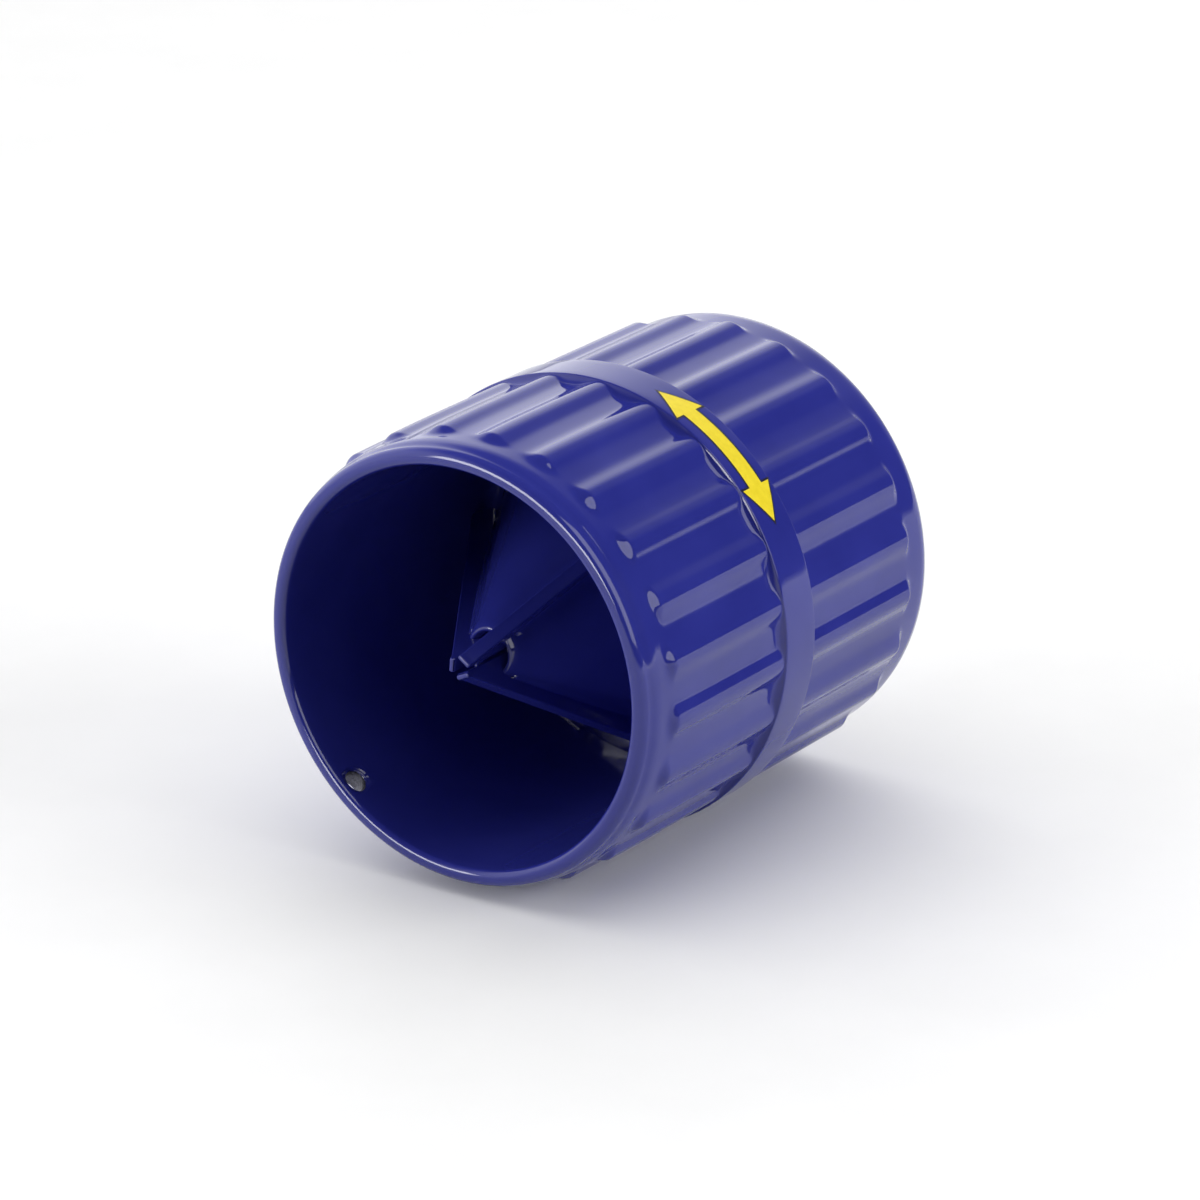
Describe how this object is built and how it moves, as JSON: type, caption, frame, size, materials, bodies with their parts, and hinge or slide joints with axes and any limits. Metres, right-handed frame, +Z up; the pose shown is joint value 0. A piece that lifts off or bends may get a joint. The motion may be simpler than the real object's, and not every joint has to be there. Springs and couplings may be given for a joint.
{
  "type": "inner and outer tube reamer",
  "caption": "Ribbed cast barrel with conical blades inside, for cleaning burrs off the inside and outside of cut tube ends by hand.",
  "frame": {"origin": "on the ground below the barrel's middle, which lies on its middle band", "axes": "Y along the barrel, the mouth with the pointed blade cone faces -Y, Z up"},
  "size_m": [0.0484, 0.0524, 0.0484],
  "materials": {
    "barrel_paint": "gloss cobalt blue paint over a cast body, bare metal in the hang hole, printed yellow arrow",
    "collar_paint": "gloss cobalt blue paint",
    "blade_steel": "hardened steel painted cobalt blue, ground bare along the rear edge"
  },
  "bodies": {
    "root": {"reamer_body": "barrel_paint", "centre_collar": "collar_paint", "blade_top": "blade_steel", "blade_left": "blade_steel", "blade_low": "blade_steel"}
  },
  "joints": []
}
